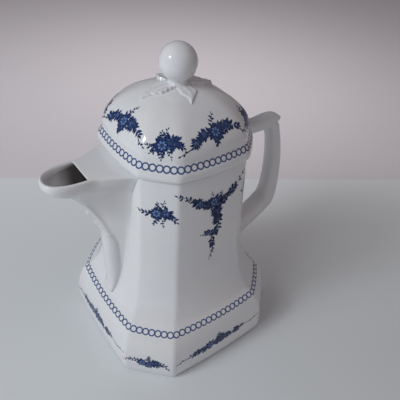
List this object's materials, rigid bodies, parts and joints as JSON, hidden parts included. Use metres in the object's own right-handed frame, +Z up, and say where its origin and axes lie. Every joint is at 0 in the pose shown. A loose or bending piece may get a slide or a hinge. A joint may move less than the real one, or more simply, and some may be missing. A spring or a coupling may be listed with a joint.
{
  "type": "chocolate pot",
  "caption": "Tall porcelain pot with cut-cornered plan, flared base, covered beak spout, loop handle and a lift-off domed lid with a ball knob.",
  "frame": {"origin": "centre of the foot ring's underside, on the pot's upright axis", "axes": "+Z up, the spout points along -X, the handle along +X, and the pot is alike on both sides of Y = 0"},
  "size_m": [0.2117, 0.1446, 0.2404],
  "materials": {
    "decorated_porcelain": "gloss",
    "white_porcelain": "gloss",
    "bare_biscuit": "matte"
  },
  "bodies": {
    "pot": {"vessel": "decorated_porcelain", "foot_ring": "bare_biscuit", "spout": "white_porcelain", "spout_leaf": "white_porcelain", "handle": "white_porcelain"},
    "lid": {"lid_dome": "decorated_porcelain", "lid_collar": "white_porcelain", "lid_knob": "white_porcelain", "knob_leaves": "white_porcelain"}
  },
  "joints": [
    {"name": "lid_lift", "type": "slide", "parent": "pot", "child": "lid", "axis": [0, 0, 1], "range_m": [0, 0.08]}
  ]
}
